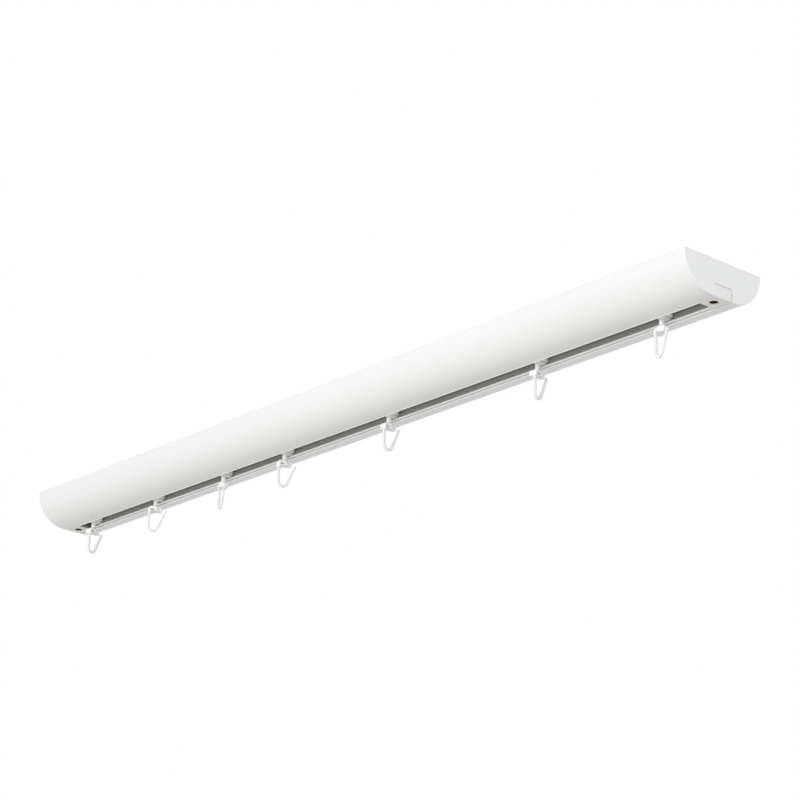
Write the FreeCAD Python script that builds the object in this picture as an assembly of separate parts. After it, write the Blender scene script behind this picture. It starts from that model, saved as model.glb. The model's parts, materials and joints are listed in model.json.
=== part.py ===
import FreeCAD, Part
import math
import os

from FreeCAD import Vector

# Curtain track: a half-round ceiling profile with a rail let into its underside.
# Seven runners slide in the rail, and a hook swivels under each of them.
# Millimetres. X runs along the track, -Y faces the room, +Z points to the ceiling.
# The origin is the middle of the flat face that lies against the ceiling.

# Ceiling profile
track_length = 700.0
track_width = 70.0
track_height = 25.0
end_edge_radius = 0.5

# Groove in the underside, which holds the rail and the two end stops
groove_width = 16.2
groove_depth = 8.6
groove_corner_radius = 1.2

# Rail, recessed a little into the groove
rail_recess = 0.5
rail_wall = 1.0
rail_roof = 1.2
rail_lip = 0.8
rail_slot = 9.2
rail_side_gap = 0.2
lip_edge_radius = 0.25

# End stops, flush with the end faces and with the underside
stop_length = 15.0
stop_front_gap = 0.1
stop_back_gap = 0.35
stop_top_gap = 0.3
stop_edge_radius = 0.3

# Screw that holds each end stop
screw_inset = 7.9
screw_well_diameter = 5.5
screw_well_depth = 1.4
screw_head_diameter = 5.1
screw_head_height = 1.9
screw_shank_diameter = 2.9
screw_length = 17.0
screw_hole_gap = 0.1
screw_point_diameter = 0.4
screw_recess_width = 0.8
screw_recess_length = 3.6
screw_recess_depth = 0.9

# Holes for the ceiling screws, reached with a driver through the slot
ceiling_hole_count = 4
ceiling_hole_inset = 65.0
ceiling_hole_diameter = 4.5

# Runners: a shoe on the rail's lips, a stem through the slot, a flange in the hook
# Each runner's place is its share of the free run from the middle to an end stop.
runner_shares = (-0.9742, -0.7207, -0.4607, -0.2393, 0.1125, 0.5651, 0.9045)
shoe_length = 10.0
shoe_height = 2.4
shoe_foot_length = 5.0
shoe_foot_height = 1.6
shoe_corner_radius = 2.4
shoe_edge_radius = 0.6
shoe_side_gap = 0.3
shoe_seat_gap = 0.2
shoe_end_gap = 0.3
stem_diameter = 3.2
stem_root_radius = 0.5
flange_diameter = 4.4
flange_height = 1.1
flange_tip_diameter = 3.0
flange_tip_height = 0.6

# Hooks: a hub that turns on the stem, a wing with a window, and an open loop
hook_turns = (96.0, 59.0, -20.0, 74.0, 86.0, 100.0, -13.0)
hook_drop = 4.2
hook_height = 20.6
hub_diameter = 7.0
hub_height = 4.2
hub_roof = 1.5
hub_edge_radius = 0.4
collar_diameter = 5.6
collar_top_diameter = 4.4
collar_height = 0.9
stem_hole_gap = 0.1
flange_side_gap = 0.25
flange_top_gap = 0.2
wing_reach = 5.3
wing_thickness = 6.0
wing_shoulder_radius = 1.6
wing_edge_radius = 0.5
nose_reach = 5.0
nose_thickness = 4.4
nose_shoulder_radius = 1.0
tooth_width = 1.3
tooth_drop = 1.2
arch_rise = 0.5
window_near = 0.6
window_far = 3.9
window_height = 1.1
window_drop = 1.8
panel_inset = 0.4
panel_rim = 0.8
panel_top_rim = 1.4
loop_plane = -1.3
loop_thickness = 1.8
loop_width = 1.7
loop_tip_width = 1.1
loop_left = -5.8
loop_bend_radius = 3.6
loop_lean_deg = 22.7
loop_tip_drop = 3.4
loop_edge_radius = 0.5

# Levels worked out from the sizes above
underside = -track_height
groove_roof = underside + groove_depth
rail_bottom = underside + rail_recess
lip_top = rail_bottom + rail_lip
rail_roof_bottom = groove_roof - rail_roof
rail_outer_width = groove_width - 2 * rail_side_gap
rail_inner_width = rail_outer_width - 2 * rail_wall
stop_x = track_length / 2 - stop_length
runner_run = stop_x - shoe_length / 2 - shoe_end_gap
shoe_bottom = lip_top + shoe_seat_gap
hook_top = underside - hook_drop
collar_top = hook_top + collar_height
hub_bottom = hook_top - hub_height
cavity_top = hook_top - hub_roof
flange_top = cavity_top - flange_top_gap
flange_cavity_diameter = flange_diameter + 2 * flange_side_gap


def line(a, b):
    return Part.LineSegment(a, b).toShape()


def arc(a, middle, b):
    return Part.Arc(a, middle, b).toShape()


def box(x0, x1, y0, y1, z0, z1):
    return Part.makeBox(x1 - x0, y1 - y0, z1 - z0, Vector(x0, y0, z0))


def upright(diameter, z0, z1, x=0.0, y=0.0):
    return Part.makeCylinder(diameter / 2, z1 - z0, Vector(x, y, z0))


def edges_where(shape, test):
    return [edge for edge in shape.Edges if test(edge)]


def is_parallel(edge, direction):
    # A straight edge that runs along the given direction.
    if edge.Curve.TypeId != "Part::GeomLine":
        return False
    along = edge.Vertexes[1].Point - edge.Vertexes[0].Point
    return along.cross(direction).Length < 1e-6


def rounded_bar(x0, x1, width, z0, z1, top_radius):
    # A bar along X whose two upper edges are rounded.
    bar = box(x0, x1, -width / 2, width / 2, z0, z1)
    along = Vector(1, 0, 0)
    upper = edges_where(bar, lambda e: is_parallel(e, along) and e.Vertexes[0].Z > z1 - 1e-6)
    return bar.makeFillet(top_radius, upper)


def profile_blank():
    # Flat on top, a quarter circle down each side, a narrow flat underneath.
    half = track_width / 2
    flat = half - track_height
    slant = track_height * math.sqrt(0.5)
    x = -track_length / 2
    top_front = Vector(x, -half, 0)
    top_back = Vector(x, half, 0)
    low_front = Vector(x, -flat, underside)
    low_back = Vector(x, flat, underside)
    front = arc(top_front, Vector(x, -flat - slant, -slant), low_front)
    back = arc(low_back, Vector(x, flat + slant, -slant), top_back)
    wire = Part.Wire([front, line(low_front, low_back), back, line(top_back, top_front)])
    blank = Part.Face(wire).extrude(Vector(track_length, 0, 0))
    # The end edges are eased, apart from the one that lies against the ceiling.
    at_end = edges_where(blank, lambda e: abs(abs(e.CenterOfMass.x) - track_length / 2) < 1e-6
                         and e.CenterOfMass.z < -1e-6)
    return blank.makeFillet(end_edge_radius, at_end)


def ceiling_hole_places():
    first = ceiling_hole_inset - track_length / 2
    spacing = -2 * first / (ceiling_hole_count - 1)
    return [first + spacing * i for i in range(ceiling_hole_count)]


def screw_places():
    inset = track_length / 2 - screw_inset
    return (-inset, inset)


def track_profile():
    reach = track_length / 2 + 1
    groove = rounded_bar(-reach, reach, groove_width, underside - 1, groove_roof, groove_corner_radius)
    profile = profile_blank().cut(groove)
    pilot = screw_shank_diameter + 2 * screw_hole_gap
    screw_tip = underside + screw_well_depth + screw_length + screw_hole_gap
    for x in screw_places():
        profile = profile.cut(upright(pilot, groove_roof - 1, screw_tip, x))
    for x in ceiling_hole_places():
        profile = profile.cut(upright(ceiling_hole_diameter, groove_roof - 1, 1, x))
    return profile


def glider_rail():
    # A C-shaped channel, open downwards, with a lip on each side of the slot.
    outer = rounded_bar(-stop_x, stop_x, rail_outer_width, rail_bottom, groove_roof, groove_corner_radius)
    end = stop_x + 1
    inner = box(-end, end, -rail_inner_width / 2, rail_inner_width / 2, lip_top, rail_roof_bottom)
    slot = box(-end, end, -rail_slot / 2, rail_slot / 2, rail_bottom - 1, lip_top + 1)
    rail = outer.cut(inner).cut(slot)
    along = Vector(1, 0, 0)
    lip_edges = edges_where(rail, lambda e: is_parallel(e, along)
                            and abs(abs(e.Vertexes[0].Y) - rail_slot / 2) < 1e-6)
    rail = rail.makeFillet(lip_edge_radius, lip_edges)
    for x in ceiling_hole_places():
        rail = rail.cut(upright(ceiling_hole_diameter, rail_roof_bottom - 1, groove_roof + 1, x))
    return rail


def end_stop(side):
    # A block that closes the groove, with a stepped hole for its screw.
    width = groove_width - stop_front_gap - stop_back_gap
    low, high = sorted((side * stop_x, side * track_length / 2))
    block = rounded_bar(low, high, width, underside, groove_roof - stop_top_gap, groove_corner_radius)
    along = Vector(1, 0, 0)
    lower = edges_where(block, lambda e: is_parallel(e, along) and e.Vertexes[0].Z < underside + 1e-6)
    block = block.makeFillet(stop_edge_radius, lower)
    block.translate(Vector(0, (stop_front_gap - stop_back_gap) / 2, 0))
    x = side * (track_length / 2 - screw_inset)
    well = upright(screw_well_diameter, underside - 1, underside + screw_well_depth, x)
    hole = upright(screw_shank_diameter + 2 * screw_hole_gap, underside, groove_roof + 1, x)
    seat = screw_head(x, screw_hole_gap)
    return block.cut(well).cut(hole).cut(seat)


def screw_head(x, gap):
    # The countersunk head, grown by a gap where it is used to cut its seat.
    bottom = underside + screw_well_depth
    wide = screw_head_diameter / 2 + gap
    narrow = screw_shank_diameter / 2 + gap
    return Part.makeCone(wide, narrow, screw_head_height, Vector(x, 0, bottom))


def stop_screw(x):
    bottom = underside + screw_well_depth
    neck = bottom + screw_head_height
    tip = bottom + screw_length
    taper_z = tip - screw_shank_diameter
    shank = upright(screw_shank_diameter, neck, taper_z, x)
    cone = Part.makeCone(screw_shank_diameter / 2, screw_point_diameter / 2, tip - taper_z,
                         Vector(x, 0, taper_z))
    screw = screw_head(x, 0.0).fuse(shank).fuse(cone)
    reach = screw_recess_length / 2
    half = screw_recess_width / 2
    top = bottom + screw_recess_depth
    screw = screw.cut(box(x - reach, x + reach, -half, half, bottom - 1, top))
    screw = screw.cut(box(x - half, x + half, -reach, reach, bottom - 1, top))
    return screw.removeSplitter()


def runner(x):
    # A plate with a shorter foot below it, which slides on the lips.
    # The stem carries a flange that the hook hangs on.
    half_width = rail_inner_width / 2 - shoe_side_gap
    plate_bottom = shoe_bottom + shoe_foot_height
    plate = box(-shoe_length / 2, shoe_length / 2, -half_width, half_width,
                plate_bottom, plate_bottom + shoe_height)
    up = Vector(0, 0, 1)
    plate = plate.makeFillet(shoe_corner_radius, edges_where(plate, lambda e: is_parallel(e, up)))
    rims = edges_where(plate, lambda e: not is_parallel(e, up))
    plate = plate.makeFillet(shoe_edge_radius, rims)
    half_foot = shoe_foot_length / 2
    foot = box(-half_foot, half_foot, -half_width, half_width, shoe_bottom, plate_bottom + 1)
    foot = foot.makeFillet(shoe_edge_radius, edges_where(foot, lambda e: is_parallel(e, up)))
    stem = upright(stem_diameter, flange_top - 0.5, shoe_bottom + 0.5)
    root = Part.makeCone(stem_diameter / 2, stem_diameter / 2 + stem_root_radius, stem_root_radius,
                         Vector(0, 0, shoe_bottom - stem_root_radius))
    flange = upright(flange_diameter, flange_top - flange_height, flange_top)
    tip = Part.makeCone(flange_tip_diameter / 2, flange_diameter / 2, flange_tip_height,
                        Vector(0, 0, flange_top - flange_height - flange_tip_height))
    solid = plate.fuse([foot, stem, root, flange, tip]).removeSplitter()
    solid.translate(Vector(x, 0, 0))
    return solid


def loop_outline():
    # Left leg down, round the bend, and up the leaning right leg to its narrow tip.
    # U is across the hook and runs to the free tip. It is drawn on X here.
    lean = math.radians(loop_lean_deg)
    half = loop_width / 2
    centre_u = loop_left + half + loop_bend_radius
    lowest = hook_top - hook_height
    centre_z = lowest + half + loop_bend_radius
    top = hook_top - wing_shoulder_radius
    tip_z = hook_top - loop_tip_drop

    def ring(radius, angle):
        return Vector(centre_u + radius * math.cos(angle), loop_plane, centre_z + radius * math.sin(angle))

    outer = loop_bend_radius + half
    inner = loop_bend_radius - half
    rise = Vector(math.sin(lean), 0, math.cos(lean))
    side = Vector(math.cos(lean), 0, -math.sin(lean))
    bend_end = ring(loop_bend_radius, -lean)
    run = (tip_z - bend_end.z) / math.cos(lean)
    tip = bend_end + rise * run
    tip_out = tip + side * (loop_tip_width / 2)
    tip_in = tip - side * (loop_tip_width / 2)
    tip_top = tip + rise * (loop_tip_width / 2)
    half_way = math.pi + (math.pi - lean) / 2
    outer_low = ring(outer, math.pi)
    inner_low = ring(inner, math.pi)
    outer_end = ring(outer, -lean)
    inner_end = ring(inner, -lean)
    outer_high = Vector(outer_low.x, loop_plane, top)
    inner_high = Vector(inner_low.x, loop_plane, top)
    return Part.Wire([
        line(outer_high, outer_low),
        arc(outer_low, ring(outer, half_way), outer_end),
        line(outer_end, tip_out),
        arc(tip_out, tip_top, tip_in),
        line(tip_in, inner_end),
        arc(inner_end, ring(inner, half_way), inner_low),
        line(inner_low, inner_high),
        line(inner_high, outer_high),
    ])


def hook_loop():
    face = Part.Face(loop_outline())
    face.translate(Vector(0, -loop_thickness / 2, 0))
    loop = face.extrude(Vector(0, loop_thickness, 0))
    across = Vector(0, 1, 0)
    rims = edges_where(loop, lambda e: not is_parallel(e, across))
    top = hook_top - wing_shoulder_radius
    rims = [e for e in rims if e.CenterOfMass.z < top - 1e-6]
    return loop.makeFillet(loop_edge_radius, rims)


def hook_wing():
    # The side towards the closed leg, with its upper outer edge rounded off.
    half = wing_thickness / 2
    wing = box(-wing_reach, 0, -half, half, hub_bottom, hook_top)
    across = Vector(0, 1, 0)
    shoulder = edges_where(wing, lambda e: is_parallel(e, across) and e.Vertexes[0].X < -1
                           and e.Vertexes[0].Z > hook_top - 1e-6)
    wing = wing.makeFillet(wing_shoulder_radius, shoulder)
    up = Vector(0, 0, 1)
    corners = edges_where(wing, lambda e: is_parallel(e, up) and e.Vertexes[0].X < -1)
    return wing.makeFillet(wing_edge_radius, corners)


def hook_nose():
    # The side towards the free tip, ending in a tooth that narrows the loop's mouth.
    half = nose_thickness / 2
    nose = box(0, nose_reach, -half, half, hub_bottom, hook_top)
    across = Vector(0, 1, 0)
    shoulder = edges_where(nose, lambda e: is_parallel(e, across) and e.Vertexes[0].X > 1
                           and e.Vertexes[0].Z > hook_top - 1e-6)
    nose = nose.makeFillet(nose_shoulder_radius, shoulder)
    front = loop_plane - loop_thickness / 2
    tooth_root = nose_reach - tooth_width
    tooth_low = hub_bottom - tooth_drop
    points = [
        Vector(tooth_root, front, hub_bottom + 1.0),
        Vector(nose_reach, front, hub_bottom + 1.0),
        Vector(nose_reach, front, tooth_low),
        Vector(nose_reach - 0.5 * tooth_width, front, tooth_low),
        Vector(tooth_root, front, hub_bottom),
    ]
    tooth = Part.Face(Part.makePolygon(points + points[:1])).extrude(Vector(0, loop_thickness, 0))
    return nose.fuse(tooth)


def hook_cuts():
    # Stem hole, flange cavity open below, window, sunk panels and an arched underside.
    hole = upright(stem_diameter + 2 * stem_hole_gap, cavity_top - 1, collar_top + 1)
    cavity = upright(flange_cavity_diameter, hub_bottom - 1, cavity_top)
    window_top = hook_top - window_drop
    window = box(-window_far, -window_near, -hub_diameter, hub_diameter,
                 window_top - window_height, window_top)
    cuts = [hole, cavity, window]
    half = wing_thickness / 2
    for side in (-1, 1):
        y0, y1 = sorted((side * (half - panel_inset), side * (half + 2)))
        cuts.append(box(-wing_reach + panel_rim, -window_near, y0, y1,
                        hub_bottom + panel_rim, hook_top - panel_top_rim))
    span = nose_reach - tooth_width + wing_reach - panel_rim
    radius = (span * span / 4 + arch_rise * arch_rise) / (2 * arch_rise)
    middle = (nose_reach - tooth_width - wing_reach + panel_rim) / 2
    arch = Part.makeCylinder(radius, 4 * half, Vector(middle, -2 * half, hub_bottom + arch_rise - radius),
                             Vector(0, 1, 0))
    cuts.append(arch)
    return cuts


def hook(x, turn):
    hub = upright(hub_diameter, hub_bottom, hook_top)
    rim = edges_where(hub, lambda e: e.CenterOfMass.z > hook_top - 1e-6 and e.Length > hub_diameter)
    hub = hub.makeFillet(hub_edge_radius, rim)
    collar = Part.makeCone(collar_diameter / 2, collar_top_diameter / 2, collar_height,
                           Vector(0, 0, hook_top))
    body = hub.fuse([collar, hook_wing(), hook_nose()])
    for cut in hook_cuts():
        body = body.cut(cut)
    solid = body.fuse(hook_loop()).removeSplitter()
    solid.rotate(Vector(0, 0, 0), Vector(0, 0, 1), turn)
    solid.translate(Vector(x, 0, 0))
    return solid


def write(name, shape):
    solids = shape.Solids
    if len(solids) != 1 or not solids[0].isValid():
        raise RuntimeError(name + " is not one valid solid")
    solids[0].exportStep("parts/" + name + ".step")


def main():
    os.makedirs("parts", exist_ok=True)
    write("track_profile", track_profile())
    write("glider_rail", glider_rail())
    for side, name in ((-1, "left"), (1, "right")):
        write("end_stop_" + name, end_stop(side))
    for x, name in zip(screw_places(), ("left", "right")):
        write("stop_screw_" + name, stop_screw(x))
    for number, (share, turn) in enumerate(zip(runner_shares, hook_turns), 1):
        x = share * runner_run
        write("runner_%d" % number, runner(x))
        write("hook_%d" % number, hook(x, turn))


main()
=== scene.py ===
import json
import math

import bpy
import numpy as np
from mathutils import Matrix, Vector


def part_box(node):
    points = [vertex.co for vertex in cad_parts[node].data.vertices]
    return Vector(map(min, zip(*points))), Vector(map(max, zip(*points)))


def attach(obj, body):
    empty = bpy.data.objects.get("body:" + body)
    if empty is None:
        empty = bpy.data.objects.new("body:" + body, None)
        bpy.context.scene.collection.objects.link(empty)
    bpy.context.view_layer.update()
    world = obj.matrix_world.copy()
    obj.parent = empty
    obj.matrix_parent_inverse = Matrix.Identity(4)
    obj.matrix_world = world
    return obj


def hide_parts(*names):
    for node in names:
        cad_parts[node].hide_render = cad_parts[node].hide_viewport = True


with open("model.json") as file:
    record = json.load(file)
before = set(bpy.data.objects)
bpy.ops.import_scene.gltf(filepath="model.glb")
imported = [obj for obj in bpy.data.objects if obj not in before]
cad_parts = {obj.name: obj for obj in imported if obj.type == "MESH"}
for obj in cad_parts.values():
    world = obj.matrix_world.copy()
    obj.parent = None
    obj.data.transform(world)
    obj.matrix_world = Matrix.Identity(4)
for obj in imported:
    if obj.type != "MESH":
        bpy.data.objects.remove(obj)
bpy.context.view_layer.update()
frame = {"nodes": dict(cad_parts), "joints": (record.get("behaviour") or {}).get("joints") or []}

# Shapes are worked out in millimetres and turned to metres when a piece is placed.
MM = 0.001


def box_mm(node):
    """Lowest and highest corner of a CAD node, in millimetres."""
    low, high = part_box(node)
    return np.array(low) / MM, np.array(high) / MM


# Levels and places read from the frame
rail_low, rail_high = box_mm("glider_rail")
runner_low, runner_high = box_mm("runner_1")
screw_low, screw_high = box_mm("stop_screw_right")

UNDERSIDE = box_mm("track_profile")[0][2]
STEM_PLACES = {joint["child"]: np.array(joint["pos_m"]) / MM
               for joint in frame["joints"] if joint["type"] == "hinge"}
HOOK_TOP = STEM_PLACES["hook_body_1"][2]

# How far a solid reaches into the one it joins, and a cutter past the one it cuts
OVERLAP = 1.0
PAST = 1.0
# An edge of two flats that stands in for a round one has its middle point this share of the way in
EASE = 0.3
# A block's faces are eased this share of the roundness of its corners
FACE_SHARE = 0.9

# Rail: a C-shaped channel with a lip on each side of its slot, and a rounded rim on each lip
RAIL_HALF_WIDTH = rail_high[1]
RAIL_WALL = 1.0
RAIL_ROOF = 1.2
RAIL_LIP = 0.8
SLOT_HALF_WIDTH = 4.7
RIM_WIDTH = 1.0
RIM_DROP = 0.4
RIM_HEIGHT = 0.6
RIM_SLOPE = 0.25
RIM_ROOT_CORNER = 0.12
RIM_OUTER_CORNER = 0.15
RIM_INNER_CORNER = 0.25
LIP_CORNER = 0.2
LIP_EDGE = 0.3
ROOF_CORNER = 0.4
RAIL_CORNER = 1.2
RAIL_END_EDGE = 0.1
CEILING_HOLES = (-285.0, -95.0, 95.0, 285.0)
CEILING_HOLE_RADIUS = 2.25

# End stops
STOP_INNER = box_mm("end_stop_right")[0][0]
STOP_CORNER = 1.2
STOP_EDGE = 0.3
STOP_END_EDGE = 0.15
WELL_RADIUS = 2.75
WELL_DEPTH = 1.4
WELL_FLARE = 0.3
WELL_FLARE_DEPTH = 0.2
SEAT_CLEARANCE = 0.1
SCREW_HOLE_RADIUS = 1.55
BORE_SEGMENTS = 48

# Runner: a plate above a shorter foot, a stem, and the flange that the hook hangs on
PLATE_LENGTH = runner_high[0] - runner_low[0]
PLATE_WIDTH = runner_high[1] - runner_low[1]
PLATE_TOP = runner_high[2]
PLATE_HEIGHT = 2.4
PLATE_CORNER = 2.4
PLATE_EDGE = 0.6
FOOT_LENGTH = 5.0
FOOT_HEIGHT = 1.6
FOOT_BOTTOM = PLATE_TOP - PLATE_HEIGHT - FOOT_HEIGHT
STEM_RADIUS = 1.7
STEM_ROOT = 0.5
FLANGE_RADIUS = 2.2
FLANGE_TOP = HOOK_TOP - 1.7
FLANGE_BOTTOM = FLANGE_TOP - 1.7
FLANGE_TIP_RADIUS = 1.9
FLANGE_TIP = FLANGE_BOTTOM - 0.3
FLANGE_TIP_EDGE = 0.1

# Hook: a hub on the stem, a wing towards the closed leg and a nose towards the free tip
HOOK_TURNS = (96.0, 59.0, -20.0, 74.0, 86.0, 100.0, -13.0)
HUB_RADIUS = 3.5
HUB_BOTTOM = HOOK_TOP - 4.2
HUB_EDGE = 0.4
COLLAR_RADIUS = 2.8
COLLAR_TOP_RADIUS = 2.2
COLLAR_TOP = HOOK_TOP + 0.9
STEM_HOLE_RADIUS = 1.85
CAVITY_RADIUS = 2.4
CAVITY_TOP = HOOK_TOP - 1.5
WING_REACH = 5.3
WING_HALF = 3.0
WING_SHOULDER = 1.6
NOSE_REACH = 5.0
NOSE_HALF = 2.2
NOSE_SHOULDER = 1.0
BODY_EDGE = 0.35
TOOTH_WIDTH = 1.3
TOOTH_DROP = 1.2
TOOTH_EDGE = 0.15
ARCH_RISE = 0.5
ARCH_EDGE = 0.1
ARCH_POINTS = 160
WINDOW_NEAR = 0.6
WINDOW_FAR = 3.9
WINDOW_TOP = HOOK_TOP - 2.2
WINDOW_BOTTOM = WINDOW_TOP - 1.1
WINDOW_EDGE = 0.25
PANEL_EDGE = 0.3
PANEL_INSET = 0.4
PANEL_RIM = 0.8
PANEL_TOP_RIM = 1.4
LOOP_PLANE = -1.3
LOOP_HALF_THICKNESS = 1.0
LOOP_HALF_WIDTH = 0.98
LOOP_TIP_HALF_WIDTH = 0.68
LOOP_LEFT = -5.8
LOOP_LEG = LOOP_LEFT + LOOP_HALF_WIDTH
LOOP_BEND = 3.6
LOOP_LEAN = math.radians(22.7)
LOOP_LOWEST = HOOK_TOP - 20.6
LOOP_TIP = HOOK_TOP - 3.4
LOOP_POWER = 3.6
LOOP_LEG_ROWS = 24
LOOP_BEND_ROWS = 40
LOOP_TIP_ROWS = 8
LOOP_TIP_TURN = 0.45 * math.pi
LOOP_SEGMENTS = 32

# Screws: countersunk, with a cross recess and a coarse thread
SCREW_PLACE = (screw_low[0] + screw_high[0]) / 2
HEAD_RADIUS = (screw_high[0] - screw_low[0]) / 2
HEAD_HEIGHT = 1.9
HEAD_BEVEL = 0.15
HEAD_BEVEL_HEIGHT = 0.12
NECK_HEIGHT = 0.1
NECK_END = 0.02
SHANK_RADIUS = 1.45
THREAD_PITCH = 1.25
THREAD_DEPTH = 0.42
THREAD_SLOPE = 5
POINT_LENGTH = 2.9
POINT_SHARE = 0.06
SCREW_SEGMENTS = 48
SCREW_ROWS = 240
RECESS_DEPTH = 0.9
RECESS_REACH = 1.8
RECESS_HALF_WIDTH = 0.4
RECESS_EDGE = 0.12
SCREW_TURNS = {"left": 20, "right": 65}

# Meshes: how strongly one smoothing round pulls, and from which angle an edge is drawn sharp
SMOOTHING = 0.5
SHARP_ANGLE = math.radians(35)


# Shapes as grids of points. A shape is its points and its faces, closed, with the faces outwards.

def skin(grid):
    """Rows are rings: quads join each ring to the next, and one flat face closes either end."""
    rows, columns = grid.shape[:2]
    ring = np.arange(columns)
    after = (ring + 1) % columns
    start = np.arange(rows - 1)[:, None] * columns
    quads = np.stack([start + ring, start + after,
                      start + columns + after, start + columns + ring], -1)
    points = grid.reshape(-1, 3)
    faces = [quads.reshape(-1, 4), ring[None, ::-1], (rows - 1) * columns + ring[None]]
    if enclosed(points, faces) < 0:
        faces = [face[:, ::-1] for face in faces]
    return points, faces


def enclosed(points, faces):
    """Volume inside the faces, positive when they face outwards: sixths of a x b . c, summed."""
    total = 0.0
    for face in faces:
        for k in range(2, face.shape[1]):
            a, b, c = points[face[:, 0]], points[face[:, k - 1]], points[face[:, k]]
            total += np.einsum("ij,ij->", np.cross(a, b), c) / 6
    return total


def rounded_outline(corners, steps=7):
    """Points and outward normals of a polygon (a, b, radius), anticlockwise. Each corner is an arc
    that touches both of its sides: its centre is radius / sin(half angle) along the bisector."""
    points, normals = [], []
    for i, (a, b, radius) in enumerate(corners):
        here = np.array((a, b))
        before = np.array(corners[i - 1][:2]) - here
        after = np.array(corners[(i + 1) % len(corners)][:2]) - here
        before /= np.linalg.norm(before)
        after /= np.linalg.norm(after)
        half = math.acos(before @ after) / 2
        bisector = (before + after) / np.linalg.norm(before + after)
        centre = here + bisector * radius / math.sin(half)
        touch = radius / math.tan(half)
        first = np.arctan2(*(here + before * touch - centre)[::-1])
        second = np.arctan2(*(here + after * touch - centre)[::-1])
        sweep = (second - first + math.pi) % (2 * math.pi) - math.pi
        angle = first + sweep * np.linspace(0, 1, steps)
        away = np.stack([np.cos(angle), np.sin(angle)], -1)
        points.append(centre + radius * away)
        normals.append(np.sign(sweep) * away)
    return np.vstack(points), np.vstack(normals)


def slab(outline, low, high, edge, axes=(0, 2, 1), steps=5):
    """An outline carried from low to high. Towards each face it is drawn in along its normals by
    edge * (1 - sin q) while it moves on by edge * (1 - cos q), q going through a quarter turn."""
    points, normals = outline
    q = np.linspace(0, math.pi / 2, steps)
    inset = edge * (1 - np.sin(q))
    rise = edge * (1 - np.cos(q))
    insets = np.concatenate([inset, inset[::-1]])
    depths = np.concatenate([low + rise, high - rise[::-1]])
    grid = np.empty((len(insets), len(points), 3))
    grid[..., list(axes[:2])] = points - normals * insets[:, None, None]
    grid[..., axes[2]] = depths[:, None]
    return skin(grid)


def block(low, high, edge, axes=(0, 2, 1)):
    """A slab with a rectangle for its outline and rounded corners."""
    a0, b0, d0 = (low[axis] for axis in axes)
    a1, b1, d1 = (high[axis] for axis in axes)
    corners = [(a0, b0, edge), (a1, b0, edge), (a1, b1, edge), (a0, b1, edge)]
    return slab(rounded_outline(corners), d0, d1, edge * FACE_SHARE, axes)


def rings(radius, turn, height):
    """Points (r cos t, r sin t, z) of a grid of rings."""
    return np.stack(np.broadcast_arrays(radius * np.cos(turn), radius * np.sin(turn), height), -1)


def lathe(profile, segments=72):
    """A profile of (radius, height) turned round the upright axis."""
    radius, height = np.array(profile, float).T[..., None]
    turn = np.linspace(0, 2 * math.pi, segments, endpoint=False)
    return skin(rings(radius, turn, height))


def rail_solid():
    """The channel's section, carried from end to end. Each lip ends in a rounded rim at the slot."""
    half, inner, slot = RAIL_HALF_WIDTH, RAIL_HALF_WIDTH - RAIL_WALL, SLOT_HALF_WIDTH
    bottom, top = rail_low[2], rail_high[2]
    lip, roof, rim = bottom + RAIL_LIP, top - RAIL_ROOF, bottom - RIM_DROP
    left = [(-half, top, RAIL_CORNER), (-half, bottom, LIP_EDGE),
            (-slot - RIM_WIDTH, bottom, RIM_ROOT_CORNER),
            (-slot - RIM_WIDTH + RIM_SLOPE, rim, RIM_OUTER_CORNER),
            (-slot, rim, RIM_INNER_CORNER), (-slot, rim + RIM_HEIGHT, LIP_CORNER),
            (-slot - RIM_WIDTH, lip, LIP_CORNER), (-inner, lip, LIP_CORNER),
            (-inner, roof, ROOF_CORNER)]
    right = [(-y, z, radius) for y, z, radius in reversed(left)]
    outline = rounded_outline(left + right)
    return slab(outline, rail_low[0], rail_high[0], RAIL_END_EDGE, (1, 2, 0))


def stop_solid(low, high):
    """A block with rounded upper corners and eased edges."""
    corners = [(low[1], low[2], STOP_EDGE), (high[1], low[2], STOP_EDGE),
               (high[1], high[2], STOP_CORNER), (low[1], high[2], STOP_CORNER)]
    return slab(rounded_outline(corners), low[0], high[0], STOP_END_EDGE, (1, 2, 0))


def bore(x, profile):
    """A lathe shape moved along the track."""
    points, faces = lathe(profile, BORE_SEGMENTS)
    return points + (x, 0, 0), faces


def well_profile():
    """The screw's well with a flared mouth, the cone under its head, and the screw hole."""
    floor = UNDERSIDE + WELL_DEPTH
    return [(WELL_RADIUS + WELL_FLARE, UNDERSIDE - WELL_FLARE),
            (WELL_RADIUS, UNDERSIDE + WELL_FLARE_DEPTH), (WELL_RADIUS, floor),
            (HEAD_RADIUS + SEAT_CLEARANCE, floor), (SCREW_HOLE_RADIUS, floor + HEAD_HEIGHT),
            (SCREW_HOLE_RADIUS, rail_high[2] + PAST)]


def ceiling_hole_profile():
    """A plain hole through the rail's roof."""
    return [(CEILING_HOLE_RADIUS, rail_high[2] - 2 * PAST), (CEILING_HOLE_RADIUS, rail_high[2] + PAST)]


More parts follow.
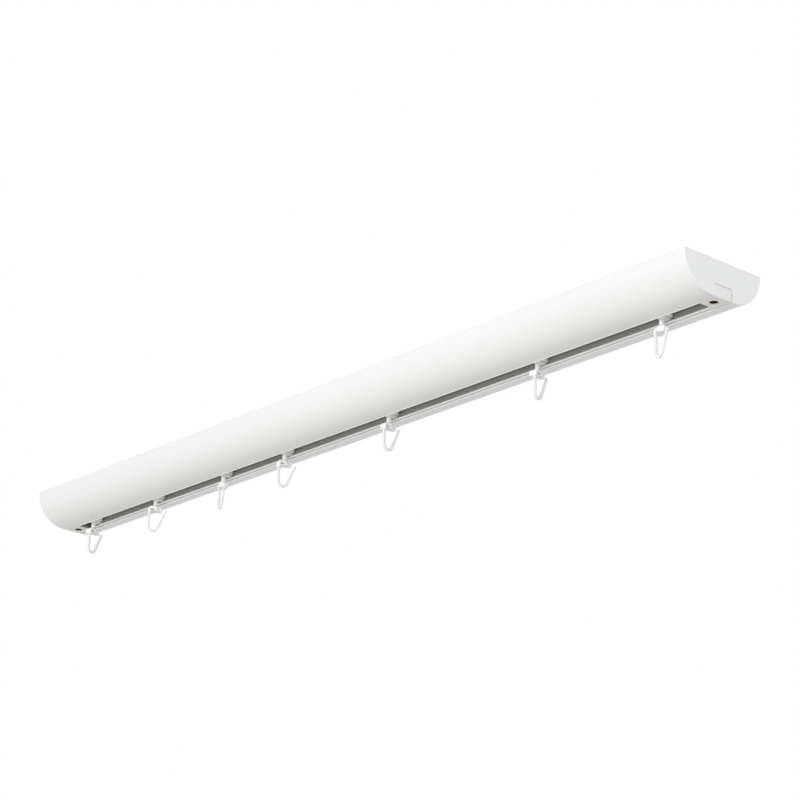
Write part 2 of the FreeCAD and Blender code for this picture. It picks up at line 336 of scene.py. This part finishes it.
def hook_loop():
    """A bar carried down the closed leg, round the bend and up the leaning leg. Its section is
    |a|^p + |b|^p = 1, stretched to the loop's width and thickness. It narrows evenly up the leaning
    leg, and past the tip it shrinks as cos q while it moves on as sin q."""
    centre = np.array((LOOP_LEG + LOOP_BEND, LOOP_LOWEST + LOOP_HALF_WIDTH + LOOP_BEND))
    down = np.linspace(HOOK_TOP - WING_SHOULDER, centre[1], LOOP_LEG_ROWS, endpoint=False)
    angle = np.linspace(math.pi, 2 * math.pi - LOOP_LEAN, LOOP_BEND_ROWS)
    along = np.array((math.sin(LOOP_LEAN), math.cos(LOOP_LEAN)))
    aside = np.array((math.cos(LOOP_LEAN), -math.sin(LOOP_LEAN)))
    bend_end = centre + LOOP_BEND * aside
    run = (LOOP_TIP - bend_end[1]) / along[1]
    share = np.linspace(0, 1, LOOP_LEG_ROWS)[1:, None]
    q = np.linspace(0, LOOP_TIP_TURN, LOOP_TIP_ROWS)[1:, None]
    tip = bend_end + run * along

    closed_leg = np.stack([np.full(down.shape, LOOP_LEG), down], -1)
    away = np.stack([np.cos(angle), np.sin(angle)], -1)
    path = np.vstack([closed_leg, centre + LOOP_BEND * away, bend_end + share * run * along,
                      tip + LOOP_TIP_HALF_WIDTH * np.sin(q) * along])
    side = np.vstack([np.tile((-1.0, 0.0), (len(down), 1)), away,
                      np.tile(aside, (len(share) + len(q), 1))])
    narrowing = LOOP_HALF_WIDTH + share[:, 0] * (LOOP_TIP_HALF_WIDTH - LOOP_HALF_WIDTH)
    width = np.concatenate([np.full(len(down) + len(angle), LOOP_HALF_WIDTH), narrowing,
                            LOOP_TIP_HALF_WIDTH * np.cos(q[:, 0])])
    thickness = np.full(len(width), LOOP_HALF_THICKNESS)
    thickness[-len(q):] *= np.cos(q[:, 0])

    turn = np.linspace(0, 2 * math.pi, LOOP_SEGMENTS, endpoint=False)
    a, b = (np.sign(wave) * np.abs(wave) ** (2 / LOOP_POWER) for wave in (np.cos(turn), np.sin(turn)))
    flat = path[:, None] + side[:, None] * (width[:, None] * a)[..., None]
    depth = LOOP_PLANE + thickness[:, None] * b
    return skin(np.stack([flat[..., 0], depth, flat[..., 1]], -1))


def hook_solids():
    """Hub with its collar, wing, nose and tooth. The loop is added once these are cut."""
    edge = BODY_EDGE
    hub = lathe([(HUB_RADIUS, HUB_BOTTOM), (HUB_RADIUS, HOOK_TOP - HUB_EDGE),
                 (HUB_RADIUS - EASE * HUB_EDGE, HOOK_TOP - EASE * HUB_EDGE),
                 (HUB_RADIUS - HUB_EDGE, HOOK_TOP),
                 (COLLAR_RADIUS, HOOK_TOP), (COLLAR_TOP_RADIUS, COLLAR_TOP)])
    wing = [(-WING_REACH, HUB_BOTTOM, edge), (0.0, HUB_BOTTOM, edge),
            (0.0, HOOK_TOP, edge), (-WING_REACH, HOOK_TOP, WING_SHOULDER)]
    nose = [(0.0, HUB_BOTTOM, edge), (NOSE_REACH, HUB_BOTTOM, edge),
            (NOSE_REACH, HOOK_TOP, NOSE_SHOULDER), (0.0, HOOK_TOP, edge)]
    root, middle = NOSE_REACH - TOOTH_WIDTH, NOSE_REACH - TOOTH_WIDTH / 2
    tooth = [(root, HUB_BOTTOM, TOOTH_EDGE), (middle, HUB_BOTTOM - TOOTH_DROP, TOOTH_EDGE),
             (NOSE_REACH, HUB_BOTTOM - TOOTH_DROP, TOOTH_EDGE),
             (NOSE_REACH, HUB_BOTTOM + OVERLAP, TOOTH_EDGE), (root, HUB_BOTTOM + OVERLAP, TOOTH_EDGE)]
    return [hub,
            slab(rounded_outline(wing), -WING_HALF, WING_HALF, edge),
            slab(rounded_outline(nose), -NOSE_HALF, NOSE_HALF, edge),
            slab(rounded_outline(tooth), LOOP_PLANE - LOOP_HALF_THICKNESS,
                 LOOP_PLANE + LOOP_HALF_THICKNESS, TOOTH_EDGE)]


def hook_cuts():
    """Arch, window, sunk panels, stem hole and the cavity for the flange. The arch is a circle of
    radius (span^2 / 4 + rise^2) / (2 rise)."""
    left, right = -WING_REACH + PANEL_RIM, NOSE_REACH - TOOTH_WIDTH
    span = right - left
    radius = (span * span / 4 + ARCH_RISE * ARCH_RISE) / (2 * ARCH_RISE)
    turn = np.linspace(0, 2 * math.pi, ARCH_POINTS, endpoint=False)
    away = np.stack([np.cos(turn), np.sin(turn)], -1)
    arch_middle = np.array(((left + right) / 2, HUB_BOTTOM + ARCH_RISE - radius))
    clear = 2 * HUB_RADIUS
    cuts = [slab((arch_middle + radius * away, away), -clear, clear, ARCH_EDGE),
            block((-WINDOW_FAR, -clear, WINDOW_BOTTOM), (-WINDOW_NEAR, clear, WINDOW_TOP), WINDOW_EDGE)]
    for side in (-1, 1):
        near, far = sorted((side * (WING_HALF - PANEL_INSET), side * clear))
        cuts.append(block((left, near, HUB_BOTTOM + PANEL_RIM),
                          (-WINDOW_NEAR, far, HOOK_TOP - PANEL_TOP_RIM), PANEL_EDGE))
    cuts.append(lathe([(CAVITY_RADIUS, HUB_BOTTOM - 2 * PAST), (CAVITY_RADIUS, CAVITY_TOP),
                       (STEM_HOLE_RADIUS, CAVITY_TOP), (STEM_HOLE_RADIUS, COLLAR_TOP + 2 * PAST)]))
    return cuts


def runner_solids():
    """Plate and foot with rounded corners, and the turned stem with its flange."""
    half_length, half_width, half_foot = PLATE_LENGTH / 2, PLATE_WIDTH / 2, FOOT_LENGTH / 2
    flat = (0, 1, 2)
    corners = [(-half_length, -half_width, PLATE_CORNER), (half_length, -half_width, PLATE_CORNER),
               (half_length, half_width, PLATE_CORNER), (-half_length, half_width, PLATE_CORNER)]
    plate = slab(rounded_outline(corners), PLATE_TOP - PLATE_HEIGHT, PLATE_TOP, PLATE_EDGE, flat)
    foot = block((-half_foot, -half_width, FOOT_BOTTOM),
                 (half_foot, half_width, PLATE_TOP - OVERLAP), PLATE_EDGE, flat)
    stem = lathe([(FLANGE_TIP_RADIUS - 2 * FLANGE_TIP_EDGE, FLANGE_TIP),
                  (FLANGE_TIP_RADIUS, FLANGE_TIP + FLANGE_TIP_EDGE),
                  (FLANGE_RADIUS, FLANGE_BOTTOM), (FLANGE_RADIUS, FLANGE_TOP),
                  (STEM_RADIUS, FLANGE_TOP), (STEM_RADIUS, FOOT_BOTTOM - STEM_ROOT),
                  (STEM_RADIUS + EASE * STEM_ROOT, FOOT_BOTTOM - EASE * STEM_ROOT),
                  (STEM_RADIUS + STEM_ROOT, FOOT_BOTTOM), (STEM_RADIUS + STEM_ROOT, FOOT_BOTTOM + OVERLAP)])
    return [plate, foot, stem]


def screw_solid():
    """Countersunk head, then a shank of radius core + depth * ridge, where the ridge is a triangle
    wave of z / pitch - t / 2 pi that grows in the first turn. The last stretch narrows evenly to
    the point."""
    bottom, top = screw_low[2], screw_high[2]
    neck = bottom + HEAD_HEIGHT
    turn = np.linspace(0, 2 * math.pi, SCREW_SEGMENTS, endpoint=False)
    z = np.linspace(neck, top, SCREW_ROWS)[:, None]
    phase = (z / THREAD_PITCH - turn / (2 * math.pi)) % 1
    run_in = np.clip((z - neck) / THREAD_PITCH, 0, 1)
    ridge = np.clip(1 - np.abs(phase - 0.5) * THREAD_SLOPE, 0, 1) * run_in
    taper = np.clip((top - z) / POINT_LENGTH, POINT_SHARE, 1)
    core = SHANK_RADIUS - THREAD_DEPTH
    shank = rings((core + THREAD_DEPTH * ridge) * taper, turn, z)
    head_profile = np.array([(HEAD_RADIUS - HEAD_BEVEL, bottom), (HEAD_RADIUS, bottom + HEAD_BEVEL_HEIGHT),
                             (SHANK_RADIUS, neck - NECK_HEIGHT), (core, neck - NECK_END)])
    wide, level = head_profile.T[..., None]
    return skin(np.vstack([rings(wide, turn, level), shank]))


def screw_cuts():
    """The two slots of the cross recess."""
    bottom, reach, half = screw_low[2], RECESS_REACH, RECESS_HALF_WIDTH
    return [block((-a, -b, bottom - PAST), (a, b, bottom + RECESS_DEPTH), RECESS_EDGE)
            for a, b in ((reach, half), (half, reach))]


def helper_object(shape):
    """A passing object, for the modifiers of a mould."""
    points, faces = shape
    mesh = bpy.data.meshes.new("helper")
    mesh.from_pydata(points.tolist(), [], [face for group in faces for face in group.tolist()])
    made = bpy.data.objects.new("helper", mesh)
    bpy.context.scene.collection.objects.link(made)
    return made


def moulded(solids, cuts, added=(), voxel=0.0, rounds=0):
    """One mesh of the solids joined, less the cuts, with the added shapes, in millimetres. With a
    voxel size it is laid out in even squares and its edges are eased by some smoothing rounds."""
    first, *others = [helper_object(shape) for shape in solids]
    cutters = [helper_object(shape) for shape in cuts]
    extras = [helper_object(shape) for shape in added]
    for operation, helpers in (("UNION", others), ("DIFFERENCE", cutters), ("UNION", extras)):
        for helper in helpers:
            step = first.modifiers.new(operation.lower(), "BOOLEAN")
            step.operation = operation
            step.solver = "EXACT"
            step.object = helper
    if voxel:
        even = first.modifiers.new("even", "REMESH")
        even.mode = "VOXEL"
        even.voxel_size = voxel
        eased = first.modifiers.new("eased", "SMOOTH")
        eased.factor = SMOOTHING
        eased.iterations = rounds
    depsgraph = bpy.context.evaluated_depsgraph_get()
    mesh = bpy.data.meshes.new_from_object(first.evaluated_get(depsgraph))
    for helper in (first, *others, *cutters, *extras):
        bpy.data.objects.remove(helper)
    mesh.polygons.foreach_set("use_smooth", np.ones(len(mesh.polygons), bool))
    if not voxel:
        mesh.set_sharp_from_angle(angle=SHARP_ANGLE)
    return mesh


def place(name, mould, turn, x, node, body, slot, finish):
    """A copy of a mould, turned about its upright axis and moved along the track."""
    mesh = mould.copy()
    mesh.name = name
    points = np.empty(len(mesh.vertices) * 3)
    mesh.vertices.foreach_get("co", points)
    c, s = math.cos(math.radians(turn)), math.sin(math.radians(turn))
    points = points.reshape(-1, 3) @ np.array(((c, s, 0), (-s, c, 0), (0, 0, 1))) + (x, 0, 0)
    mesh.vertices.foreach_set("co", (points * MM).ravel())
    mesh.update()
    mesh.materials.clear()
    mesh.materials.append(finish)
    piece = bpy.data.objects.new(name, mesh)
    bpy.context.scene.collection.objects.link(piece)
    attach(piece, body)
    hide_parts(node)


# Shader maths written as expressions

class Value:
    """One socket of a material. Operators on numbers and other values add Math nodes."""

    def __init__(self, tree, socket):
        self.tree = tree
        self.socket = socket

    def math(self, operation, *others, flip=False):
        """The result of a Math node; flip puts this value last."""
        terms = [self, *others]
        if flip:
            terms = terms[::-1]
        return self.tree.node("ShaderNodeMath", {"operation": operation}, dict(enumerate(terms)))[0]

    def __add__(self, other):
        return self.math("ADD", other)

    __radd__ = __add__

    def __sub__(self, other):
        return self.math("SUBTRACT", other)

    def __rsub__(self, other):
        return self.math("SUBTRACT", other, flip=True)

    def __mul__(self, other):
        return self.math("MULTIPLY", other)

    __rmul__ = __mul__

    def __truediv__(self, other):
        return self.math("DIVIDE", other)

    def __pow__(self, other):
        return self.math("POWER", other)

    def __abs__(self):
        return self.math("ABSOLUTE")

    def clip(self):
        """The value held between 0 and 1."""
        return self.tree.node("ShaderNodeClamp", {}, {0: self})[0]

    def above(self, edge, soft):
        """0 below the edge, 1 above it, with a soft step between."""
        return ((self - edge) / soft + 0.5).clip()


class Finish:
    """A material whose nodes are made by one method."""

    def __init__(self, name):
        self.material = bpy.data.materials.new(name)
        self.material.use_nodes = True
        self.nodes = self.material.node_tree.nodes
        self.links = self.material.node_tree.links
        self.nodes.clear()
        self.place = self.node("ShaderNodeTexCoord", {}, {})["Object"]

    def node(self, kind, settings, inputs):
        """Adds a node: settings first, then the values or links of its sockets. Returns its outputs."""
        made = self.nodes.new(kind)
        for key, value in settings.items():
            setattr(made, key, value)
        for key, value in inputs.items():
            if isinstance(value, Value):
                self.links.new(value.socket, made.inputs[key])
            else:
                made.inputs[key].default_value = value
        return Outputs(self, made)

    def along(self, axis):
        """Distance along X, Y or Z from the middle of the ceiling face, in metres."""
        return self.node("ShaderNodeSeparateXYZ", {}, {"Vector": self.place})[axis]

    def noise(self, scale, detail=2.0, stretch=(1, 1, 1)):
        """Noise from 0 to 1; scale is in features a metre, and stretch below 1 draws them out."""
        stretched = self.node("ShaderNodeMapping", {"vector_type": "POINT"},
                              {"Vector": self.place, "Scale": stretch})["Vector"]
        return self.node("ShaderNodeTexNoise", {},
                         {"Vector": stretched, "Scale": scale, "Detail": detail})["Fac"]

    def cells(self, scale):
        """Distance to the nearest of some scattered points, in widths of a cell."""
        return self.node("ShaderNodeTexVoronoi", {"feature": "F1"},
                         {"Vector": self.place, "Scale": scale})["Distance"]

    def blend(self, share, first, second):
        """A colour between two colours."""
        return self.node("ShaderNodeMix", {"data_type": "RGBA"}, {0: share, 6: first, 7: second})[2]

    def bump(self, height, depth, strength):
        """A normal that follows a height; depth is in metres."""
        return self.node("ShaderNodeBump", {},
                         {"Height": height, "Distance": depth, "Strength": strength})["Normal"]

    def surface(self, **inputs):
        """The finished material; each input is named as on the shader, with _ for a space."""
        named = {key.replace("_", " "): value for key, value in inputs.items()}
        shader = self.node("ShaderNodeBsdfPrincipled", {}, named)["BSDF"]
        self.node("ShaderNodeOutputMaterial", {}, {"Surface": shader})
        return self.material


class Outputs:
    """The outputs of a node, by name or number."""

    def __init__(self, tree, made):
        self.tree = tree
        self.made = made

    def __getitem__(self, key):
        return Value(self.tree, self.made.outputs[key])


# How softly the edge of a colour mask runs out, in metres
CRISP, FIRM, SOFT, FAINT, BLURRED = 0.0002, 0.0003, 0.0004, 0.0006, 0.0008

# Places where colours change, in millimetres, and colours that are not plain greys
# Where the painted highlight behind the rail starts and ends, across the track
HIGHLIGHT_NEAR = 7.3
HIGHLIGHT_FAR = 9.6
# Width of the painted shadow line along the rail's outer edges
LIP_SHADOW_WIDTH = 0.35
CHANNEL_SHADE_FROM = -19.8
MASK_MARGIN = 0.2
STAIN_REACH = 0.9
# Painted shade inside the rail's channel: lighter at the lips, darker at the roof
SHADE_AT_LIP = (0.6, 0.615, 0.6, 1)
SHADE_AT_ROOF = (0.365, 0.377, 0.367, 1)
STAIN = (0.52, 0.43, 0.27, 1)
# Painted shade in the screw's well
WELL_SHADE = (0.05, 0.028, 0.011, 1)
# Yellow zinc, darkened as painted shade, clean and stained
SHADED_ZINC_CLEAN = (0.11, 0.058, 0.016, 1)
SHADED_ZINC_STAINED = (0.045, 0.022, 0.007, 1)


def grey(level, warm=0.0):
    """A near-white linear colour; warm takes blue away."""
    return (level, level * (1 - 0.3 * warm), level * (1 - warm), 1.0)


def lacquer():
    """White satin lacquer over a sanded core: fine orange peel, faint sanding lines, a few dust nibs.
    A painted highlight brightens the underside in a narrow band behind the rail, from stop to stop."""
    f = Finish("profile_lacquer")
    clouds = f.noise(9.0, detail=3.0)
    peel = f.noise(650.0)
    sanding = f.noise(900.0, detail=3.0, stretch=(0.02, 1, 1))
    nibs = (1 - f.cells(140.0).above(0.035, 0.02)) * f.noise(40.0).above(0.58, 0.1)
    colour = f.blend(clouds, grey(0.80, -0.006), grey(0.835, -0.003))
    behind = f.along("Y")
    # Painted highlight: a lighter band behind the rail, where the groove's rounded rear edge catches light
    highlight_strip = behind.above(HIGHLIGHT_NEAR * MM, SOFT) * (1 - behind.above(HIGHLIGHT_FAR * MM, FAINT))
    between = 1 - abs(f.along("X")).above(STOP_INNER * MM, SOFT)
    below = 1 - f.along("Z").above((UNDERSIDE + MASK_MARGIN) * MM, CRISP)
    colour = f.blend(highlight_strip * between * below, colour, grey(0.99))
    rough = 0.34 + 0.08 * f.noise(60.0) + 0.05 * sanding
    normal = f.bump(peel + 0.35 * sanding + 0.8 * nibs, 0.00002, 0.35)
    return f.surface(Base_Color=colour, Roughness=rough, Normal=normal, IOR=1.5)


def enamel():
    """White stove enamel with die lines along the rail, rougher inside the channel. Painted shade darkens
    the inside, most towards the roof, the rims carry a painted highlight, and a painted shadow runs along
    each outer edge."""
    f = Finish("rail_enamel")
    die = f.noise(1400.0, stretch=(0.004, 1, 1))
    wear = f.noise(300.0, detail=4.0, stretch=(0.05, 1, 1)).above(0.66, 0.1)
    colour = f.blend(f.noise(15.0), grey(0.83), grey(0.87))
    colour = f.blend(0.2 * wear, colour, grey(0.6))
    from_middle = abs(f.along("Y"))
    # Painted highlight: the rims at the slot are whiter, where their rounded edges catch light
    rim = 1 - from_middle.above((SLOT_HALF_WIDTH + RIM_WIDTH) * MM, CRISP)
    colour = f.blend(rim, colour, grey(0.97))
    # Painted shadow: a dark line along each outer edge of the rail, for the shaded gap beside the groove
    # wall
    edge = from_middle.above((RAIL_HALF_WIDTH - LIP_SHADOW_WIDTH) * MM, CRISP)
    colour = f.blend(edge, colour, grey(0.3))
    # Painted shade: the inside of the channel is darker grey, darker still towards the roof
    inside = f.along("Z").above((rail_low[2] + RAIL_LIP - MASK_MARGIN) * MM, FIRM)
    deep = f.along("Z").above(CHANNEL_SHADE_FROM * MM, BLURRED)
    colour = f.blend(inside, colour, f.blend(deep, SHADE_AT_LIP, SHADE_AT_ROOF))
    rough = 0.26 + 0.12 * die + 0.15 * inside
    return f.surface(Base_Color=colour, Roughness=rough, Normal=f.bump(die, 0.00002, 0.4), IOR=1.5)


def stop_plastic():
    """White moulded plastic with a fine spark-eroded grain. Painted shade darkens the well to dark brown
    and the face towards the channel to dark grey."""
    f = Finish("stop_plastic")
    grain = f.noise(2600.0)
    from_middle = abs(f.along("X"))
    from_screw = ((from_middle - SCREW_PLACE * MM) ** 2 + f.along("Y") ** 2) ** 0.5
    above_mouth = f.along("Z").above((UNDERSIDE + MASK_MARGIN) * MM, CRISP)
    well = (1 - from_screw.above((WELL_RADIUS + SEAT_CLEARANCE) * MM, CRISP)) * above_mouth
    colour = f.blend(f.noise(70.0), grey(0.78, 0.025), grey(0.81, 0.015))
    stain = 0.3 * (1 - from_screw.above((WELL_RADIUS + STAIN_REACH) * MM, FAINT))
    colour = f.blend(stain, colour, STAIN)
    # Painted shade: the well under the screw head is near-black brown
    colour = f.blend(well, colour, WELL_SHADE)
    # Painted shade: the end face towards the channel is dark grey, as the channel is in shade
    in_channel = f.along("Z").above((rail_low[2] + 2 * MASK_MARGIN) * MM, CRISP)
    inner = (1 - from_middle.above((STOP_INNER + MASK_MARGIN) * MM, CRISP)) * in_channel
    colour = f.blend(inner, colour, grey(0.25))
    rough = 0.42 + 0.1 * f.noise(500.0)
    return f.surface(Base_Color=colour, Roughness=rough, Normal=f.bump(grain, 0.00001, 0.5), IOR=1.5)


def nylon():
    """White nylon of the runners, a little translucent, rubbed where it slides."""
    f = Finish("runner_nylon")
    cloud = f.noise(260.0, detail=3.0)
    rubbed = f.noise(1200.0, stretch=(0.05, 1, 1))
    colour = f.blend(cloud, grey(0.87), grey(0.91))
    rough = 0.38 + 0.18 * rubbed
    return f.surface(Base_Color=colour, Roughness=rough, Normal=f.bump(cloud + rubbed, 0.00001, 0.5),
                     Subsurface_Weight=0.6, Subsurface_Radius=(1, 1, 1), Subsurface_Scale=0.002,
                     IOR=1.53)


def hook_plastic():
    """Glossy white plastic with faint flow marks from the gate. Painted light makes it whiter from the
    hub's bottom up, lifting the shade under the rail.
    """
    f = Finish("hook_plastic")
    flow = f.noise(420.0, detail=3.0, stretch=(1, 1, 0.35))
    grain = f.noise(3200.0, detail=1.0)
    # Painted light: the hub and collar, in shade under the rail, are whiter than the loop below them
    hub_painted_light = f.along("Z").above(HUB_BOTTOM * MM, SOFT)
    colour = f.blend(flow, f.blend(hub_painted_light, grey(0.78), grey(0.89)),
                     f.blend(hub_painted_light, grey(0.82), grey(0.93)))
    rough = 0.34 + 0.14 * flow
    normal = f.bump(0.7 * flow + 0.3 * grain, 0.00001, 0.5)
    return f.surface(Base_Color=colour, Roughness=rough, Normal=normal, Subsurface_Weight=0.8,
                     Subsurface_Radius=(1, 1, 1), Subsurface_Scale=0.0015, IOR=1.5)


def yellow_zinc():
    """Yellow passivated steel with stains, darkened throughout as painted shade for a head sunk in its
    well.
    """
    f = Finish("screw_yellow_zinc")
    stain = f.noise(900.0, detail=4.0)
    turned = f.noise(5200.0, detail=1.0)
    # Both tones are darkened as painted shade; the stain noise mixes the clean and the stained one
    colour = f.blend(stain, SHADED_ZINC_CLEAN, SHADED_ZINC_STAINED)
    rough = 0.38 + 0.2 * stain
    return f.surface(Base_Color=colour, Metallic=0.85, Roughness=rough,
                     Normal=f.bump(turned, 0.00001, 0.4))


# Every CAD node has its finish. The profile keeps its CAD mesh, and finer pieces replace the rest.
LACQUER, ENAMEL, STOP_PLASTIC = lacquer(), enamel(), stop_plastic()
NYLON, HOOK_PLASTIC, YELLOW_ZINC = nylon(), hook_plastic(), yellow_zinc()
FINISHES = {"track_profile": LACQUER, "glider_rail": ENAMEL, "end_stop": STOP_PLASTIC,
            "stop_screw": YELLOW_ZINC, "runner": NYLON, "hook": HOOK_PLASTIC}

for name, node in frame["nodes"].items():
    node.data.materials.clear()
    node.data.materials.append(next(FINISHES[start] for start in FINISHES if name.startswith(start)))

hook_mould = moulded(hook_solids(), hook_cuts(), [hook_loop()], voxel=0.12, rounds=4)
runner_mould = moulded(runner_solids(), [], voxel=0.14, rounds=3)
screw_mould = moulded([screw_solid()], screw_cuts())
rail_mould = moulded([rail_solid()], [bore(x, ceiling_hole_profile()) for x in CEILING_HOLES])

place("lipped_rail", rail_mould, 0, 0, "glider_rail", "track", "rail_metal", ENAMEL)

for number, turn in enumerate(HOOK_TURNS, 1):
    x = STEM_PLACES[f"hook_body_{number}"][0]
    place(f"nylon_runner_{number}", runner_mould, 0, x,
          f"runner_{number}", f"runner_body_{number}", "runner_plastic", NYLON)
    place(f"swivel_hook_{number}", hook_mould, turn, x,
          f"hook_{number}", f"hook_body_{number}", "hook_plastic", HOOK_PLASTIC)

for side, turn in SCREW_TURNS.items():
    low, high = box_mm(f"stop_screw_{side}")
    x = (low[0] + high[0]) / 2
    place(f"countersunk_screw_{side}", screw_mould, turn, x,
          f"stop_screw_{side}", "track", "screw_zinc", YELLOW_ZINC)
    stop_mould = moulded([stop_solid(*box_mm(f"end_stop_{side}"))], [bore(x, well_profile())])
    place(f"groove_block_{side}", stop_mould, 0, 0,
          f"end_stop_{side}", "track", "stop_plastic", STOP_PLASTIC)


# The camera of the photograph: below the track, in front of it and beyond its right-hand end
CAMERA_PLACE = Vector((1.34715, -1.12398, -0.63971))
CAMERA_YAW = math.radians(49.128)
CAMERA_PITCH = math.radians(20.018)
CAMERA_ROLL = math.radians(1.596)
CAMERA_LENS = 117.589
CAMERA_SENSOR = 36.0
CAMERA_NEAR = 0.01

# Lamps: name, place, aim, size, power and colour
LAMPS = (
    ("front_light", (0.35, -1.9, -0.1), (0.0, 0.0, 0.0), (1.6, 1.0), 20.5, (1.0, 1.0, 1.0)),
    ("end_light", (1.9, 0.3, 0.2), (0.2, 0.0, 0.0), (1.0, 1.0), 8.2, (0.97, 0.985, 1.0)),
    ("low_light", (0.2, -0.5, -1.6), (0.0, 0.0, 0.0), (2.4, 2.4), 5.9, (1.0, 0.99, 0.86)),
)
WORLD_LEVEL = 0.62


def make_camera():
    """It turns about Z, then up from looking straight down, and last about its own line of sight."""
    data = bpy.data.cameras.new("camera")
    data.lens = CAMERA_LENS
    data.sensor_width = CAMERA_SENSOR
    data.clip_start = CAMERA_NEAR
    camera = bpy.data.objects.new("camera", data)
    camera.location = CAMERA_PLACE
    turn = Matrix.Rotation(CAMERA_YAW, 3, "Z") @ Matrix.Rotation(math.pi / 2 + CAMERA_PITCH, 3, "X")
    camera.rotation_euler = (turn @ Matrix.Rotation(CAMERA_ROLL, 3, "Z")).to_euler()
    bpy.context.scene.collection.objects.link(camera)
    bpy.context.scene.camera = camera


def make_lamp(name, place, aim, size, power, colour):
    """A rectangular lamp turned towards its aim, which the camera doesn't see."""
    data = bpy.data.lights.new(name, "AREA")
    data.shape = "RECTANGLE"
    data.size, data.size_y = size
    data.energy = power
    data.color = colour
    lamp = bpy.data.objects.new(name, data)
    lamp.location = place
    lamp.rotation_euler = (Vector(aim) - Vector(place)).to_track_quat("-Z", "Y").to_euler()
    lamp.visible_camera = False
    bpy.context.scene.collection.objects.link(lamp)


def make_world(level):
    """Soft light of one level all round; the camera and clear reflections see plain white."""
    world = bpy.data.worlds.new("studio")
    bpy.context.scene.world = world
    world.use_nodes = True
    nodes, links = world.node_tree.nodes, world.node_tree.links
    nodes.clear()
    path = nodes.new("ShaderNodeLightPath")
    light = nodes.new("ShaderNodeBackground")
    light.inputs["Color"].default_value = (level, level, level, 1)
    white = nodes.new("ShaderNodeBackground")
    white.inputs["Color"].default_value = (1, 1, 1, 1)
    mix = nodes.new("ShaderNodeMixShader")
    out = nodes.new("ShaderNodeOutputWorld")
    seen = path.outputs["Is Camera Ray"]
    for ray in ("Is Glossy Ray", "Is Transmission Ray"):
        either = nodes.new("ShaderNodeMath")
        either.operation = "MAXIMUM"
        links.new(seen, either.inputs[0])
        links.new(path.outputs[ray], either.inputs[1])
        seen = either.outputs[0]
    links.new(seen, mix.inputs[0])
    links.new(light.outputs[0], mix.inputs[1])
    links.new(white.outputs[0], mix.inputs[2])
    links.new(mix.outputs[0], out.inputs["Surface"])


def make_floor():
    """A plain pale floor, as far below as a room's floor is below its ceiling."""
    size, depth = 6.0, -2.3
    mesh = bpy.data.meshes.new("floor")
    corners = [(-size, -size, depth), (size, -size, depth), (size, size, depth), (-size, size, depth)]
    mesh.from_pydata(corners, [], [(0, 1, 2, 3)])
    floor = bpy.data.objects.new("floor", mesh)
    bpy.context.scene.collection.objects.link(floor)
    f = Finish("pale_floor")
    colour = f.blend(f.noise(3.0), grey(0.74), grey(0.78))
    mesh.materials.append(f.surface(Base_Color=colour, Roughness=0.8))


bpy.context.scene.view_settings.view_transform = "Standard"
make_camera()
make_world(WORLD_LEVEL)
make_floor()
for lamp in LAMPS:
    make_lamp(*lamp)
